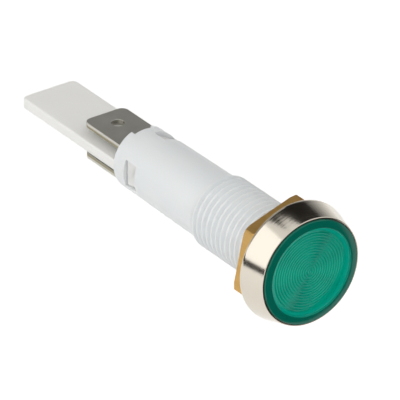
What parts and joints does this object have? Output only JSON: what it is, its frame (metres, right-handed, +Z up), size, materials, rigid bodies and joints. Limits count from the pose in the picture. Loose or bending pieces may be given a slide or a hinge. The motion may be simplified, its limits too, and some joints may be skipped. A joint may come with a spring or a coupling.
{
  "type": "panel pilot light",
  "caption": "Panel pilot light: plated bezel with a ringed green lens, threaded white barrel, brass hex nut, push-on tabs and a barrier blade.",
  "frame": {"origin": "centre of the bezel's rear face, where it meets the panel", "axes": "+Y runs back along the barrel, -Y is the lens side, +Z is up, square to the flat tabs"},
  "size_m": [0.0164, 0.0574, 0.0164],
  "materials": {
    "bright_nickel": "turned and bright nickel-plated",
    "green_lens": "translucent, moulded with fine rings",
    "white_nylon": "satin, slightly translucent",
    "brass": "milled, bare",
    "natural_nylon": "satin, slightly translucent",
    "tinned_tab": "tin-plated brass strip, dull",
    "lamp_glass": "clear",
    "electrode": "drawn nickel",
    "wire": "tinned copper",
    "resistor_coat": "lacquered",
    "sleeve": "extruded sleeving",
    "solder": "solidified solder"
  },
  "bodies": {
    "housing": {"bezel": "bright_nickel", "lens": "green_lens", "barrel": "white_nylon", "terminal_carrier": "natural_nylon", "upper_tab": "tinned_tab", "lower_tab": "tinned_tab", "lamp_envelope": "lamp_glass", "lamp_electrode_upper": "electrode", "lamp_electrode_lower": "electrode", "lamp_lead_upper": "wire", "lamp_lead_lower": "wire", "resistor_body": "resistor_coat", "resistor_cap_front": "wire", "resistor_cap_rear": "wire", "resistor_lead_front": "wire", "resistor_lead_rear": "wire", "return_wire": "wire", "return_sleeve": "sleeve", "upper_splice": "solder", "lower_splice": "solder", "upper_tab_joint": "solder", "lower_tab_joint": "solder"},
    "nut": {"panel_nut": "brass"}
  },
  "joints": [
    {"name": "nut_run", "type": "slide", "parent": "housing", "child": "nut", "axis": [0, 1, 0], "range_m": [0, 0.0133]}
  ]
}
